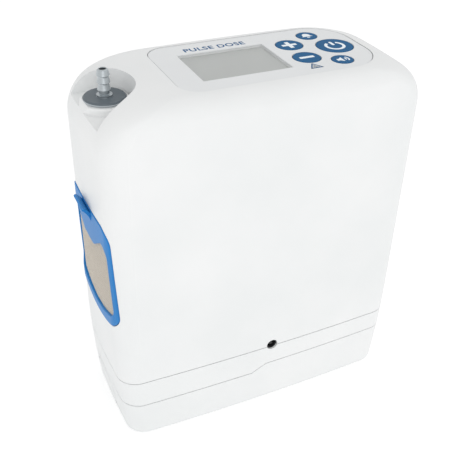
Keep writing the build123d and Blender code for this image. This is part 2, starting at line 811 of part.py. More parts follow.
with BuildPart() as fan_impeller:
    with BuildSketch(Plane.YZ.offset(fan_left + 2.2)):
        with Locations((0, exhaust_center_z)):
            Circle(fan_hub)
    extrude(amount=fan_depth - 3)
    blade_left = fan_left + 2.6
    with BuildSketch(Plane.YZ.offset(blade_left)):
        with Locations((0, exhaust_center_z)):
            with PolarLocations((fan_hub + fan_bore) / 2 - 0.8, fan_blades):
                Rectangle(fan_bore - fan_hub - 0.2, 1.4, rotation=18)
    extrude(amount=fan_depth - 3.8)
    with BuildSketch(Plane.YZ.offset(fan_left)):
        with Locations((0, exhaust_center_z)):
            Circle(1.5 + running_gap)
    extrude(amount=fan_depth - 0.6, mode=Mode.SUBTRACT)
fan_impeller.part.label = "fan_impeller"
export_step(fan_impeller.part, "parts/fan_impeller.step")

# ---- chassis: a tray on four feet, with screw tubes and a ledge for the main board ----
board_y = -body_width / 2 + case_wall + 2.6
board_thickness = 1.6
chassis_top = chassis_bottom + chassis_thickness
chassis_left = pump_x - 66.0
chassis_right = column_x + column_radius + 6
with BuildPart() as chassis_frame:
    with Locations(((chassis_left + chassis_right) / 2, (board_y + 34) / 2, chassis_bottom)):
        Box(
            chassis_right - chassis_left,
            34 - board_y,
            chassis_thickness,
            align=(Align.CENTER, Align.CENTER, Align.MIN),
        )
    fillet(chassis_frame.edges().filter_by(Axis.Z), 4)
    with Locations((0, 0, base_floor)):
        with GridLocations(2 * boss_x, 2 * boss_y, 2, 2):
            Cylinder(boss_radius, chassis_top - base_floor, align=(Align.CENTER, Align.CENTER, Align.MIN))
    with GridLocations(2 * boss_x, 2 * boss_y, 2, 2):
        Cylinder(screw_radius + fixed_gap, 4 * body_height, mode=Mode.SUBTRACT)
chassis_frame.part.label = "chassis_frame"
export_step(chassis_frame.part, "parts/chassis_frame.step")

# ---- pump: boxer compressor on rubber feet, crank along Y, motor on the front ----
pump_plane = Plane((pump_x, 0, pump_z), x_dir=(1, 0, 0), z_dir=(0, -1, 0))
foot_height = 3.0
foot_half_x = crankcase_half_length + 12
crankcase_low = pump_z - crankcase_half_height
mount_top = chassis_top + mount_height
with BuildPart() as pump_mounts:
    with Locations((pump_x, pump_y, chassis_top)):
        with GridLocations(2 * (foot_half_x - 5), 2 * (pump_half_depth - 4), 2, 2):
            Cylinder(4.5, mount_height, align=(Align.CENTER, Align.CENTER, Align.MIN))
    grooves = pump_mounts.edges().filter_by(GeomType.CIRCLE)
    fillet(grooves, 0.8)
pump_mounts.part.label = "pump_mounts"
export_step(pump_mounts.part, "parts/pump_mounts.step")

with BuildPart() as crankcase:
    with Locations((pump_x, pump_y, pump_z)):
        Box(2 * crankcase_half_length, 2 * pump_half_depth, 2 * crankcase_half_height)
    fillet(crankcase.edges().filter_by(Axis.Y), 5)
    with Locations((pump_x, pump_y, mount_top)):
        Box(
            2 * foot_half_x,
            2 * pump_half_depth,
            foot_height,
            align=(Align.CENTER, Align.CENTER, Align.MIN),
        )
    with Locations((pump_x, pump_y, mount_top)):
        Box(
            1.6 * crankcase_half_length,
            2 * pump_half_depth,
            crankcase_low - mount_top + 2,
            align=(Align.CENTER, Align.CENTER, Align.MIN),
        )
    # crank chamber, rod passages and shaft bore
    with Locations((pump_x, pump_y, pump_z)):
        Cylinder(crankcase_half_height - 4, 2 * pump_half_depth - 8, rotation=(90, 0, 0), mode=Mode.SUBTRACT)
        Cylinder(piston_radius, 4 * crankcase_half_length, rotation=(0, 90, 0), mode=Mode.SUBTRACT)
        Cylinder(shaft_radius + 4 + fixed_gap, 4 * pump_half_depth, rotation=(90, 0, 0), mode=Mode.SUBTRACT)
crankcase.part.label = "crankcase"
export_step(crankcase.part, "parts/crankcase.step")

cylinder_start = crankcase_half_length + fixed_gap
head_start = cylinder_start + cylinder_length + fixed_gap
for side, side_name in ((-1, "left"), (1, "right")):
    with BuildPart() as cylinder:
        with Locations((pump_x + side * (cylinder_start + cylinder_length / 2), pump_y, pump_z)):
            Cylinder(cylinder_radius - 1.5, cylinder_length, rotation=(0, 90, 0))
            with Locations((-9, 0, 0), (-5, 0, 0), (-1, 0, 0), (3, 0, 0), (7, 0, 0)):
                Cylinder(cylinder_radius, 1.6, rotation=(0, 90, 0))
            Cylinder(piston_radius, 2 * cylinder_length, rotation=(0, 90, 0), mode=Mode.SUBTRACT)
    cylinder.part.label = f"cylinder_{side_name}"
    export_step(cylinder.part, f"parts/cylinder_{side_name}.step")

    with BuildPart() as head:
        with Locations((pump_x + side * (head_start + head_thickness / 2), pump_y, pump_z)):
            Box(head_thickness, 2 * pump_half_depth - 1, 2 * pump_half_depth - 1)
        fillet(head.edges().filter_by(Axis.X), 3)
        port_bottom = pump_z + pump_half_depth - 0.5
        with Locations((pump_x + side * (head_start + head_thickness / 2), pump_y, port_bottom)):
            Cylinder(hose_radius - 0.8, port_length, align=(Align.CENTER, Align.CENTER, Align.MIN))
    head.part.label = f"head_{side_name}"
    export_step(head.part, f"parts/head_{side_name}.step")

    # Piston with its rod. The big-end eye is wider than the crank pin's whole circle.
    eye_radius = crank_throw + crank_pin_radius + moving_gap
    rod_y = pump_y + side * 3.4
    with BuildPart() as piston:
        crown_x = pump_x + side * (cylinder_start + cylinder_length - 6)
        with Locations((crown_x - side * piston_height / 2, pump_y, pump_z)):
            Cylinder(piston_radius - piston_gap, piston_height, rotation=(0, 90, 0))
        rod_end = pump_x + side * eye_radius
        with Locations(((crown_x - side * piston_height + rod_end) / 2, rod_y, pump_z)):
            Box(abs(crown_x - side * piston_height - rod_end) + 1, 5, 7)
        with Locations((pump_x, rod_y, pump_z)):
            Cylinder(eye_radius + 2.5, 5, rotation=(90, 0, 0))
            Cylinder(eye_radius, 6, rotation=(90, 0, 0), mode=Mode.SUBTRACT)
    piston.part.label = f"piston_{side_name}"
    export_step(piston.part, f"parts/piston_{side_name}.step")

# Shaft from the rotor through both bearings, offset crank pin between two webs, and a counterweight.
case_front = pump_y - pump_half_depth
case_back = pump_y + pump_half_depth
stator_front = case_front - fixed_gap - stator_length
pin_front = pump_y - 6.6
pin_back = pump_y + 6.6
web_thickness = 2.4
with BuildPart() as crankshaft:
    with BuildSketch(Plane.XZ.offset(-pin_front)):
        with Locations((pump_x, pump_z)):
            Circle(shaft_radius)
    extrude(amount=pin_front - stator_front - 1)
    with BuildSketch(Plane.XZ.offset(-pin_back - web_thickness)):
        with Locations((pump_x, pump_z)):
            Circle(shaft_radius)
    extrude(amount=-(case_back - pin_back - web_thickness - 1))
    for web_y in (pin_front, pin_back + web_thickness):
        with BuildSketch(Plane.XZ.offset(-web_y)):
            with Locations((pump_x, pump_z)):
                Circle(crank_throw + crank_pin_radius + 1)
            with Locations((pump_x, pump_z - 6)):
                Rectangle(14, 8)
        extrude(amount=web_thickness)
    with BuildSketch(Plane.XZ.offset(-pin_back - 0.5)):
        with Locations((pump_x, pump_z + crank_throw)):
            Circle(crank_pin_radius)
    extrude(amount=pin_back - pin_front + 1)
crankshaft.part.label = "crankshaft"
export_step(crankshaft.part, "parts/crankshaft.step")

with BuildPart() as crank_bearings:
    for bearing_y in (case_front, case_back - 3.6):
        with BuildSketch(Plane.XZ.offset(-bearing_y - 3.6)):
            with Locations((pump_x, pump_z)):
                Circle(shaft_radius + 4)
                Circle(shaft_radius + running_gap, mode=Mode.SUBTRACT)
        extrude(amount=3.6)
crank_bearings.part.label = "crank_bearings"
export_step(crank_bearings.part, "parts/crank_bearings.step")

with BuildPart() as motor_stator:
    with BuildSketch(pump_plane.offset(-case_front + fixed_gap)):
        Circle(stator_radius)
        Circle(rotor_radius + air_gap, mode=Mode.SUBTRACT)
    extrude(amount=stator_length)
    with BuildSketch(pump_plane.offset(-case_front + fixed_gap)):
        with PolarLocations((stator_radius + rotor_radius + air_gap) / 2, 6):
            SlotOverall(6, 3.2, rotation=90)
    extrude(amount=stator_length, mode=Mode.SUBTRACT)
motor_stator.part.label = "motor_stator"
export_step(motor_stator.part, "parts/motor_stator.step")

with BuildPart() as motor_rotor:
    with BuildSketch(pump_plane.offset(-case_front + fixed_gap + 1)):
        Circle(rotor_radius)
        Circle(shaft_radius + fixed_gap, mode=Mode.SUBTRACT)
    extrude(amount=stator_length - 2)
motor_rotor.part.label = "motor_rotor"
export_step(motor_rotor.part, "parts/motor_rotor.step")

# ---- gas train: two upright sieve columns, manifold with four valves, product tank, hoses ----
for side, side_name in ((-1, "front"), (1, "rear")):
    with BuildPart() as sieve_column:
        with Locations((column_x, side * column_y, chassis_top)):
            Cylinder(
                column_radius - 0.8,
                column_top - chassis_top,
                align=(Align.CENTER, Align.CENTER, Align.MIN),
            )
            Cylinder(column_radius, 9, align=(Align.CENTER, Align.CENTER, Align.MIN))
        with Locations((column_x, side * column_y, column_top)):
            Cylinder(column_radius, 9, align=(Align.CENTER, Align.CENTER, Align.MAX))
        fillet(sieve_column.edges().group_by(Axis.Z)[0], 1)
        fillet(sieve_column.edges().group_by(Axis.Z)[-1], 1)
    sieve_column.part.label = f"sieve_column_{side_name}"
    export_step(sieve_column.part, f"parts/sieve_column_{side_name}.step")

manifold_left = column_x - column_radius - 4
manifold_half_y = column_y + column_radius - 2
manifold_top = column_top + manifold_height
with BuildPart() as column_manifold:
    with Locations(((manifold_left + column_x + column_radius) / 2, 0, column_top)):
        Box(
            column_x + column_radius - manifold_left,
            2 * manifold_half_y,
            manifold_height,
            align=(Align.CENTER, Align.CENTER, Align.MIN),
        )
    fillet(column_manifold.edges().filter_by(Axis.Z), 3)
    with Locations((column_x, 0, manifold_top)):
        Box(14, 40, 3, align=(Align.CENTER, Align.CENTER, Align.MIN))
column_manifold.part.label = "column_manifold"
export_step(column_manifold.part, "parts/column_manifold.step")

with BuildPart() as solenoid_valves:
    with Locations((column_x, 0, manifold_top + 3)):
        with GridLocations(0, 11, 1, 4):
            Box(12, 9.6, 12, align=(Align.CENTER, Align.CENTER, Align.MIN))
            Cylinder(3, 15, align=(Align.CENTER, Align.CENTER, Align.MIN))
solenoid_valves.part.label = "solenoid_valves"
export_step(solenoid_valves.part, "parts/solenoid_valves.step")

crankcase_top = pump_z + crankcase_half_height
tank_left = pump_x - tank_length / 2
with BuildPart() as product_tank:
    with Locations((pump_x, tank_y, tank_z)):
        Cylinder(tank_radius, tank_length, rotation=(0, 90, 0))
    fillet(product_tank.edges().filter_by(GeomType.CIRCLE), 3)
    # two saddle legs stand on the crankcase
    with Locations((pump_x, pump_y + 4, crankcase_top)):
        with GridLocations(18, 0, 2, 1):
            Box(4, 14, tank_z - crankcase_top, align=(Align.CENTER, Align.CENTER, Align.MIN))
product_tank.part.label = "product_tank"
export_step(product_tank.part, "parts/product_tank.step")


# A hose of straight runs joined by arcs.
def hose(points, bend):
    with BuildPart(mode=Mode.PRIVATE) as tube:
        with BuildLine() as route:
            FilletPolyline(*points, radius=bend)
        with BuildSketch(Plane(origin=route.line @ 0, z_dir=route.line % 0)):
            Circle(hose_radius)
        sweep(path=route.line)
    return tube.part


head_right_x = pump_x + head_start + head_thickness / 2
head_left_x = pump_x - head_start - head_thickness / 2
head_port_top = pump_z + pump_half_depth - 0.5 + port_length
filter_port_z = filter_disc_top - output_filter_height - 6
with BuildPart() as hoses:
    # tank to the outlet filter
    add(
        hose(
            [
                (tank_left, tank_y, tank_z),
                (tank_left - 22, tank_y, tank_z),
                (nozzle_x, 0, tank_z + 8),
                (nozzle_x, 0, filter_port_z),
            ],
            7,
        )
    )
    # manifold to the tank
    add(
        hose(
            [
                (tank_left + tank_length, tank_y, tank_z),
                (manifold_left - 6, tank_y, tank_z),
                (manifold_left - 6, tank_y, column_top + manifold_height / 2),
                (manifold_left, tank_y, column_top + manifold_height / 2),
            ],
            2.9,
        )
    )
    # right head up to the manifold
    add(
        hose(
            [
                (head_right_x, pump_y, head_port_top),
                (head_right_x, pump_y, column_top + manifold_height / 2 - 12),
                (head_right_x, pump_y - 12, column_top + manifold_height / 2),
                (manifold_left, pump_y - 12, column_top + manifold_height / 2),
            ],
            5,
        )
    )
    # left head joins the right head's outlet over the motor
    add(
        hose(
            [
                (head_left_x, pump_y, head_port_top),
                (head_left_x, pump_y, head_port_top + 12),
                (head_left_x, pump_y - 20, head_port_top + 12),
                (manifold_left - 12, pump_y - 20, head_port_top + 12),
                (manifold_left - 12, pump_y - 20, column_top + 2),
                (manifold_left, pump_y - 20, column_top + 2),
            ],
            5,
        )
    )
hoses.part.label = "hoses"
export_step(hoses.part, "parts/hoses.step")

# ---- electronics ----
main_board_left = pump_x - 46.0
main_board_right = column_x - column_radius - 2
main_board_top = 178.0
with BuildPart() as main_board:
    with Locations(((main_board_left + main_board_right) / 2, board_y, chassis_top)):
        Box(
            main_board_right - main_board_left,
            board_thickness,
            main_board_top - chassis_top,
            align=(Align.CENTER, Align.MIN, Align.MIN),
        )
    fillet(main_board.edges().filter_by(Axis.Y), 2)
main_board.part.label = "main_board"
export_step(main_board.part, "parts/main_board.step")

board_face = board_y + board_thickness
with BuildPart() as board_parts:
    # x from the board's left edge, z from its top edge, width, height, depth
    for part_x, part_z, width, height, depth in (
        (14, 16, 14, 14, 2),
        (36, 18, 10, 10, 2),
        (56, 14, 18, 8, 7),
        (20, 42, 10, 16, 9),
        (38, 44, 12, 12, 6),
        (60, 40, 8, 8, 3),
        (84, 20, 8, 18, 5),
    ):
        with Locations((main_board_left + part_x, board_face, main_board_top - part_z)):
            Box(width, depth, height, align=(Align.CENTER, Align.MIN, Align.CENTER))
    for part_z in (24, 36):
        with Locations((main_board_left + 72, board_face, main_board_top - part_z)):
            Cylinder(4, 11, rotation=(90, 0, 0), align=(Align.CENTER, Align.CENTER, Align.MAX))
board_parts.part.label = "board_parts"
export_step(board_parts.part, "parts/board_parts.step")

with BuildPart() as oxygen_sensor:
    with Locations((main_board_right - 12, board_face, main_board_top - 52)):
        Box(16, 9, 22, align=(Align.CENTER, Align.MIN, Align.CENTER))
        Cylinder(1.6, 14, rotation=(90, 0, 0), align=(Align.CENTER, Align.CENTER, Align.MAX))
oxygen_sensor.part.label = "oxygen_sensor"
export_step(oxygen_sensor.part, "parts/oxygen_sensor.step")

# ---- battery connector in the base: body and blades that point along the slide ----
blade_pitch = 2 * (terminal_half_width - 3) / (terminal_count - 1)
blade_bottom = battery_split_low + 1.2
blade_height = 3.0
receptacle_depth = 14.0
with BuildPart() as battery_connector:
    with Locations((split_step_start - 1, 0, battery_split_low + seam_gap)):
        Box(
            -connector_left + split_step_start - 2,
            2 * (terminal_half_width - fixed_gap),
            8,
            align=(Align.MAX, Align.CENTER, Align.MIN),
        )
    with Locations((split_step_start - 2, 0, blade_bottom)):
        with GridLocations(0, blade_pitch, 1, terminal_count):
            Box(12, blade_thickness, blade_height, align=(Align.MIN, Align.CENTER, Align.MIN))
battery_connector.part.label = "battery_connector"
export_step(battery_connector.part, "parts/battery_connector.step")

# ---- battery ----
latch_center_z = (latch_bottom + latch_top) / 2


def latch_outline(plane_x, grow):
    with BuildSketch(Plane.YZ.offset(plane_x), mode=Mode.PRIVATE) as outline:
        with Locations((latch_center_y, latch_center_z)):
            Rectangle(2 * (latch_half_width + grow), latch_top - latch_bottom + 2 * grow)
        fillet(outline.vertices().group_by(Axis.Y)[-1], latch_top - latch_bottom - 4 + grow)
        fillet(outline.vertices().group_by(Axis.Y)[0], 2 + grow)
    return outline.sketch


cell_start = -(cell_length + cell_gap / 2) - 1.5
guide_right = cell_start - 0.5
with BuildPart() as battery_case:
    add(outer_form & below_step(-seam_gap / 2))
    fillet(battery_case.edges().group_by(Axis.Z)[0], bottom_round)
    add(inner_form & slab(case_wall, body_height), mode=Mode.SUBTRACT)
    extrude(latch_outline(-body_length, latch_gap), amount=body_length - 80, mode=Mode.SUBTRACT)
    # guide block for the latch pin
    with Locations((guide_right, latch_center_y, case_wall)):
        Box(guide_thickness, 16, 16, align=(Align.MAX, Align.CENTER, Align.MIN))
    with Locations((guide_right, latch_center_y, latch_center_z)):
        Cylinder(latch_pin_radius + moving_gap, 30, rotation=(0, 90, 0), mode=Mode.SUBTRACT)
battery_case.part.label = "battery_case"
export_step(battery_case.part, "parts/battery_case.step")

receptacle_right = split_step_end + receptacle_depth
rail_left = -body_length / 2 + rail_end_inset
rail_right = body_length / 2 - rail_end_inset
with BuildPart() as battery_lid:
    add(case_form(case_wall + fixed_gap, -5) & below_step(-seam_gap / 2, -50))
    add(below_step(-seam_gap / 2 - lid_thickness, -60), mode=Mode.SUBTRACT)
    for side in (-1, 1):
        with Locations((rail_left, side * rail_y, battery_split_low - seam_gap / 2 - lid_thickness)):
            Box(
                rail_right - rail_left,
                2 * rail_stem_half,
                rail_head_bottom + 1 - battery_split_low + lid_thickness + seam_gap / 2,
                align=(Align.MIN, Align.CENTER, Align.MIN),
            )
        with Locations((rail_left, side * rail_y, rail_head_bottom)):
            Box(
                rail_right - rail_left,
                2 * rail_head_half,
                rail_head_top - rail_head_bottom,
                align=(Align.MIN, Align.CENTER, Align.MIN),
            )
    # the receptacle stands in this window, behind the step
    with Locations((split_step_start - 6, 0, 0)):
        Box(
            receptacle_right - split_step_start + 6,
            2 * (terminal_half_width + fixed_gap),
            3 * battery_split_high,
            align=(Align.MIN, Align.CENTER, Align.CENTER),
            mode=Mode.SUBTRACT,
        )
battery_lid.part.label = "battery_lid"
export_step(battery_lid.part, "parts/battery_lid.step")

cells_top = case_wall + 0.3 + 2 * cell_radius
with BuildPart() as battery_terminals:
    with Locations((split_step_end + 1, 0, cells_top + 0.3)):
        Box(
            receptacle_depth - 1,
            2 * terminal_half_width,
            battery_split_high - seam_gap / 2 - cells_top - 0.3,
            align=(Align.MIN, Align.CENTER, Align.MIN),
        )
    with Locations((split_step_end, 0, blade_bottom - 0.6)):
        with GridLocations(0, blade_pitch, 1, terminal_count):
            Box(
                12,
                blade_thickness + 1.0,
                2 * blade_height,
                align=(Align.MIN, Align.CENTER, Align.MIN),
                mode=Mode.SUBTRACT,
            )
battery_terminals.part.label = "battery_terminals"
export_step(battery_terminals.part, "parts/battery_terminals.step")

with BuildPart() as battery_cells:
    with Locations((-1.5, 0, case_wall + 0.3 + cell_radius)):
        with GridLocations(cell_length + cell_gap, cell_pitch, 2, 4):
            Cylinder(cell_radius, cell_length, rotation=(0, 90, 0))
    fillet(battery_cells.edges().filter_by(GeomType.CIRCLE), 0.8)
battery_cells.part.label = "battery_cells"
export_step(battery_cells.part, "parts/battery_cells.step")

with BuildPart() as cell_straps:
    with Locations((-1.5, 0, case_wall + 0.3 + cell_radius)):
        with GridLocations(2 * (cell_length + cell_gap / 2 + 0.15), 2 * cell_pitch, 2, 2):
            Box(0.3, cell_pitch + 8, 6)
cell_straps.part.label = "cell_straps"
export_step(cell_straps.part, "parts/cell_straps.step")

with BuildPart() as battery_board:
    with Locations((cell_length + cell_gap / 2 - 1.5 + 2.0, 0, case_wall + 6)):
        Box(13, 56, 1.6, align=(Align.MIN, Align.CENTER, Align.MIN))
    with Locations((cell_length + cell_gap / 2 - 1.5 + 8.5, 0, case_wall + 7.6)):
        with GridLocations(0, 14, 1, 3):
            Box(6, 6, 2, align=(Align.CENTER, Align.CENTER, Align.MIN))
    # posts under the board
    with Locations((cell_length + cell_gap / 2 - 1.5 + 8.5, 0, case_wall)):
        with GridLocations(0, 44, 1, 2):
            Cylinder(2, 6, align=(Align.CENTER, Align.CENTER, Align.MIN))
battery_board.part.label = "battery_board"
export_step(battery_board.part, "parts/battery_board.step")

# The latch is a press pad in the left end, on a stem that slides in a sprung guide.
latch_face = -half_length_at(latch_center_z, 0)
pin_tip = guide_right - latch_travel - moving_gap
with BuildPart() as battery_latch:
    extrude(latch_outline(-body_length, 0), amount=body_length - 70)
    add(outer_form, mode=Mode.INTERSECT)
    add(case_form(latch_wall, -5), mode=Mode.SUBTRACT)
    # guide pin on the pad's back
    from_left = (Align.CENTER, Align.CENTER, Align.MIN)
    with Locations((latch_face + latch_wall, latch_center_y, latch_center_z)):
        Cylinder(latch_pin_radius, pin_tip - latch_face - latch_wall, rotation=(0, 90, 0), align=from_left)
        Cylinder(latch_collar_radius, latch_collar_length, rotation=(0, 90, 0), align=from_left)
battery_latch.part.label = "battery_latch"
export_step(battery_latch.part, "parts/battery_latch.step")

spring_left = latch_face + latch_wall + latch_collar_length + spring_wire_radius + fixed_gap
spring_right = guide_right - guide_thickness - spring_wire_radius - fixed_gap
with BuildPart() as latch_spring:
    with BuildLine() as spring_line:
        Helix(
            spring_pitch,
            spring_right - spring_left,
            spring_coil_radius,
            center=(spring_left, latch_center_y, latch_center_z),
            direction=(1, 0, 0),
        )
    with BuildSketch(Plane(origin=spring_line.line @ 0, z_dir=spring_line.line % 0)):
        Circle(spring_wire_radius)
    sweep(path=spring_line.line)
latch_spring.part.label = "latch_spring"
export_step(latch_spring.part, "parts/latch_spring.step")
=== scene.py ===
import bpy, bmesh, json, math
from mathutils import Matrix, Vector


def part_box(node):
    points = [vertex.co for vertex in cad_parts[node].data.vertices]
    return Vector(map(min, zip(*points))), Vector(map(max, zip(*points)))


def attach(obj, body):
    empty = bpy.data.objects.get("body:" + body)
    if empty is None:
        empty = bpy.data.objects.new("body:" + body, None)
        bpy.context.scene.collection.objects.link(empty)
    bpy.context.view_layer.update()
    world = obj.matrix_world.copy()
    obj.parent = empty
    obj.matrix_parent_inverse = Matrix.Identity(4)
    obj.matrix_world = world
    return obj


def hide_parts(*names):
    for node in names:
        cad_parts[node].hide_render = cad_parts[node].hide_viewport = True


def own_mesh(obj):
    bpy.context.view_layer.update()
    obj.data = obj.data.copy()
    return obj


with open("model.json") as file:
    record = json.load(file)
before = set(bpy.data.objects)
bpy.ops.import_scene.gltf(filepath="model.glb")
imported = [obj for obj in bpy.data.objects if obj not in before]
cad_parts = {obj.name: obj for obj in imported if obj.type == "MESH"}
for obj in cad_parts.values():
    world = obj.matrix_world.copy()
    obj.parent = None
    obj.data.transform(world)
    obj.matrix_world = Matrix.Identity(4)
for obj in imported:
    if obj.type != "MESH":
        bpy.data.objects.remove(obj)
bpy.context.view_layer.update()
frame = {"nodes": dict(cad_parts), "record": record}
nodes = frame["nodes"]
print("frame loaded:", len(nodes), "nodes")
mm = 0.001


def srgb(hexValue, alpha=1.0):
    channels = [int(hexValue[i:i + 2], 16) / 255 for i in (1, 3, 5)]
    linear = [c / 12.92 if c <= 0.04045 else ((c + 0.055) / 1.055) ** 2.4 for c in channels]
    return (*linear, alpha)


# The camera looks down on the front and the outlet end.
cameraSetup = {"position": (-160.3, -320.9, 344.3), "yaw": 25.98, "pitch": 34.45, "roll": 1.69, "lens": 56.3,
               "sensor": 36, "nearest": 0.01}


def placeCamera(setup):
    yaw, pitch, roll = (math.radians(setup[key]) for key in ("yaw", "pitch", "roll"))
    forward = Vector((math.sin(yaw) * math.cos(pitch), math.cos(yaw) * math.cos(pitch), -math.sin(pitch)))
    right = Vector((math.cos(yaw), -math.sin(yaw), 0))
    up = right.cross(forward)
    turnedRight = math.cos(roll) * right + math.sin(roll) * up
    turnedUp = -math.sin(roll) * right + math.cos(roll) * up
    rotation = Matrix((turnedRight, turnedUp, -forward)).transposed()
    data = bpy.data.cameras.new("camera")
    data.lens = setup["lens"]
    data.sensor_width = setup["sensor"]
    data.clip_start = setup["nearest"]
    camera = bpy.data.objects.new("camera", data)
    camera.matrix_world = Matrix.Translation(Vector(setup["position"]) * mm) @ rotation.to_4x4()
    bpy.context.scene.collection.objects.link(camera)
    bpy.context.scene.camera = camera


placeCamera(cameraSetup)
bpy.context.scene.view_settings.view_transform = "Standard"
print("camera placed")


def addNode(tree, kind, settings=None, inputs=None):
    node = tree.nodes.new(kind)
    for name, value in (settings or {}).items():
        setattr(node, name, value)
    for name, value in (inputs or {}).items():
        if isinstance(value, bpy.types.NodeSocket):
            tree.links.new(value, node.inputs[name])
        else:
            node.inputs[name].default_value = value
    return node


def newMaterial(name, color, roughness, **fixed):
    material = bpy.data.materials.new(name)
    material.use_nodes = True
    tree = material.node_tree
    shader = tree.nodes["Principled BSDF"]
    shader.inputs["Base Color"].default_value = srgb(color)
    shader.inputs["Roughness"].default_value = roughness
    for key, value in fixed.items():
        shader.inputs[key].default_value = value
    return material, tree, shader


def objectPlace(tree, **mapping):
    coord = addNode(tree, "ShaderNodeTexCoord")
    return addNode(tree, "ShaderNodeMapping", inputs={"Vector": coord.outputs["Object"], **mapping}).outputs["Vector"]


def ramp(tree, factor, stops):
    node = addNode(tree, "ShaderNodeValToRGB", inputs={"Fac": factor})
    elements = node.color_ramp.elements
    while len(elements) < len(stops):
        elements.new(0.5)
    for element, (position, color) in zip(elements, stops):
        element.position = position
        element.color = srgb(color)
    return node.outputs["Color"]


def spread(tree, value, low, high):
    node = addNode(tree, "ShaderNodeMapRange", inputs={"Value": value, "To Min": low, "To Max": high})
    return node.outputs["Result"]


# Moulded ABS, spark-eroded: a fine matt grain that breaks the highlight, faint cloudiness in the white.
absLook = {"color": "#E9EAEA", "shade": "#E4E6E6", "roughness": 0.42, "gloss": 0.5, "ior": 1.53,
           "grainMm": 0.45, "grainDepthMm": 0.012, "grainStrength": 0.35, "cloudMm": 60,
           "smoother": 0.07, "rougher": 0.09}


def mouldedAbs(name, look):
    fixed = {"IOR": look["ior"], "Specular IOR Level": look["gloss"]}
    material, tree, shader = newMaterial(name, look["color"], look["roughness"], **fixed)
    place = objectPlace(tree)
    cloud = addNode(tree, "ShaderNodeTexNoise",
                    inputs={"Vector": place, "Scale": 1000 / look["cloudMm"], "Detail": 3.0})
    color = ramp(tree, cloud.outputs["Fac"], [(0.35, look["shade"]), (0.65, look["color"])])
    tree.links.new(color, shader.inputs["Base Color"])
    grain = addNode(tree, "ShaderNodeTexNoise",
                    inputs={"Vector": place, "Scale": 1000 / look["grainMm"], "Detail": 2.0})
    low, high = look["roughness"] - look["smoother"], look["roughness"] + look["rougher"]
    tree.links.new(spread(tree, grain.outputs["Fac"], low, high), shader.inputs["Roughness"])
    bump = addNode(tree, "ShaderNodeBump", inputs={
        "Height": grain.outputs["Fac"], "Strength": look["grainStrength"], "Distance": look["grainDepthMm"] * mm})
    tree.links.new(bump.outputs["Normal"], shader.inputs["Normal"])
    return material


# Bare metal: a grain that can be stretched into turning or lamination lines.
metalLook = {"smoother": 0.08, "rougher": 0.1, "strength": 0.2, "depthMm": 0.01}


def metal(name, color, shade, roughness, grainMm, stretch=(1, 1, 1)):
    material, tree, shader = newMaterial(name, color, roughness, Metallic=1.0)
    place = objectPlace(tree, Scale=stretch)
    grain = addNode(tree, "ShaderNodeTexNoise", inputs={"Vector": place, "Scale": 1000 / grainMm, "Detail": 4.0})
    tree.links.new(ramp(tree, grain.outputs["Fac"], [(0.3, shade), (0.7, color)]), shader.inputs["Base Color"])
    low, high = roughness - metalLook["smoother"], roughness + metalLook["rougher"]
    tree.links.new(spread(tree, grain.outputs["Fac"], low, high), shader.inputs["Roughness"])
    bump = addNode(tree, "ShaderNodeBump", inputs={
        "Height": grain.outputs["Fac"], "Strength": metalLook["strength"], "Distance": metalLook["depthMm"] * mm})
    tree.links.new(bump.outputs["Normal"], shader.inputs["Normal"])
    return material


# A wave texture at scale 1 repeats every 314 mm, so its scale is 314 over the period in millimetres.
wavePeriodMm = 314.16


# Woven polyester seen between the modelled threads: a finer crossed weave, dull and a little fuzzy.
weaveLook = {"roughness": 0.85, "sheen": 0.25, "gloss": 0.25, "distortion": 0.4, "strength": 0.6, "depthMm": 0.1}


def wovenPolyester(name, color, dark, threadMm):
    fixed = {"Sheen Weight": weaveLook["sheen"], "Specular IOR Level": weaveLook["gloss"]}
    material, tree, shader = newMaterial(name, color, weaveLook["roughness"], **fixed)
    place = objectPlace(tree)
    waves = []
    for axis in ("Y", "Z"):
        settings = {"wave_type": "BANDS", "bands_direction": axis, "wave_profile": "SIN"}
        wave = addNode(tree, "ShaderNodeTexWave", settings, {
            "Vector": place, "Scale": wavePeriodMm / threadMm, "Distortion": weaveLook["distortion"]})
        waves.append(wave.outputs["Fac"])
    weave = addNode(tree, "ShaderNodeMath", {"operation": "MULTIPLY"}, {0: waves[0], 1: waves[1]}).outputs["Value"]
    tree.links.new(ramp(tree, weave, [(0.05, dark), (0.6, color)]), shader.inputs["Base Color"])
    bump = addNode(tree, "ShaderNodeBump", inputs={
        "Height": weave, "Strength": weaveLook["strength"], "Distance": weaveLook["depthMm"] * mm})
    tree.links.new(bump.outputs["Normal"], shader.inputs["Normal"])
    return material


# Liquid-crystal panel: even grey-green with a faint row structure under anti-glare glass.
crystalLook = {"roughness": 0.3, "coat": 0.4, "coatRoughness": 0.15}


def liquidCrystal(name, color, dark, rowMm):
    fixed = {"Coat Weight": crystalLook["coat"], "Coat Roughness": crystalLook["coatRoughness"]}
    material, tree, shader = newMaterial(name, color, crystalLook["roughness"], **fixed)
    place = objectPlace(tree)
    settings = {"wave_type": "BANDS", "bands_direction": "Y"}
    rows = addNode(tree, "ShaderNodeTexWave", settings, {"Vector": place, "Scale": wavePeriodMm / rowMm})
    tree.links.new(ramp(tree, rows.outputs["Fac"], [(0.0, dark), (1.0, color)]), shader.inputs["Base Color"])
    return material


# Clear plastic: a slow haze varies how sharply it lets things through.
hazeLook = {"patchMm": 8, "spread": 0.05, "least": 0.02}


def clearPlastic(name, color, roughness, transmission, ior):
    material, tree, shader = newMaterial(name, color, roughness, IOR=ior, **{"Transmission Weight": transmission})
    place = objectPlace(tree)
    haze = addNode(tree, "ShaderNodeTexNoise", inputs={"Vector": place, "Scale": 1000 / hazeLook["patchMm"]})
    low, high = max(hazeLook["least"], roughness - hazeLook["spread"]), roughness + hazeLook["spread"]
    tree.links.new(spread(tree, haze.outputs["Fac"], low, high), shader.inputs["Roughness"])
    return material


